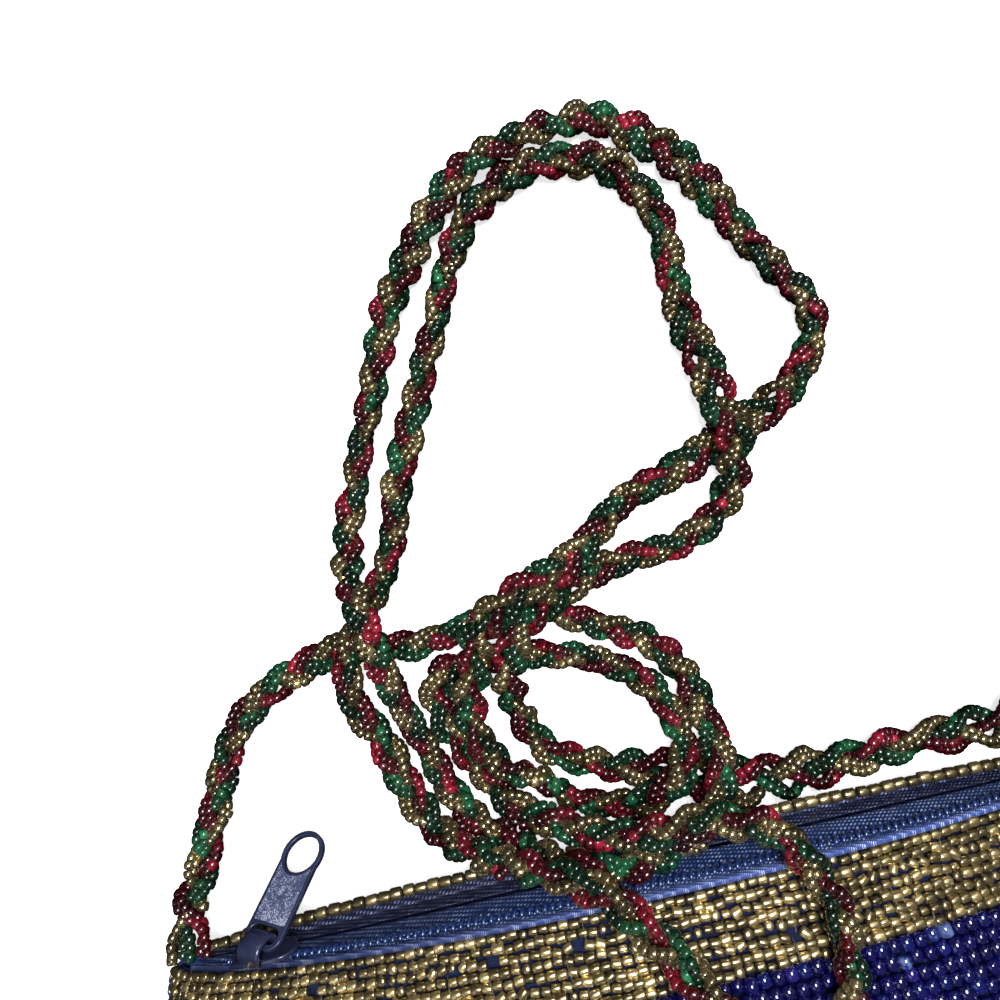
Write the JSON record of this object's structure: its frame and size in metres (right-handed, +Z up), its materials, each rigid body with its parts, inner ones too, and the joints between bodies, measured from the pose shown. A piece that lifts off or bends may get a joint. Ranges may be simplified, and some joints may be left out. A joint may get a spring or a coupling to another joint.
{
  "type": "beaded crossbody bag",
  "caption": "Small puffed crossbody pouch with a bead-covered front, a zip across its mouth and a plaited bead strap, lying on its back.",
  "frame": {"origin": "on the table, under the middle of the back panel", "axes": "+X along the mouth, from the zip pull's end to the other; +Y out of the mouth; +Z up off the table"},
  "size_m": [0.1744, 0.2648, 0.0332],
  "materials": {
    "beads_blue": "iridescent cobalt seed beads sewn close together on satin",
    "beads_gold": "silver-lined gold and olive seed beads",
    "beads_red": "glossy garnet seed beads",
    "beads_green": "glossy dark green seed beads",
    "satin_blue": "mid blue satin",
    "satin_navy": "dark navy satin",
    "zip_tape": "navy twill zip tape",
    "zip_coil": "navy nylon coil",
    "navy_enamel": "navy enamel on cast metal, hammered in the middle of the tab"
  },
  "bodies": {
    "bag": {"front_panel": "beads_blue", "back_panel": "satin_blue", "back_rim_beads": "beads_gold", "back_facing": "satin_navy", "zip_tape_back": "zip_tape", "zip_coil": "zip_coil", "zip_tape_front": "zip_tape", "front_facing": "satin_blue", "zip_slider": "navy_enamel", "strap_left": "beads_red", "strap_right": "beads_green"},
    "pull": {"zip_pull": "navy_enamel"}
  },
  "joints": [
    {"name": "pull_swing", "type": "hinge", "parent": "bag", "child": "pull", "pos_m": [-0.066, 0.07214, 0.01349], "axis": [0.887, -0.2002, 0.4162], "range_deg": [0, 150]}
  ]
}
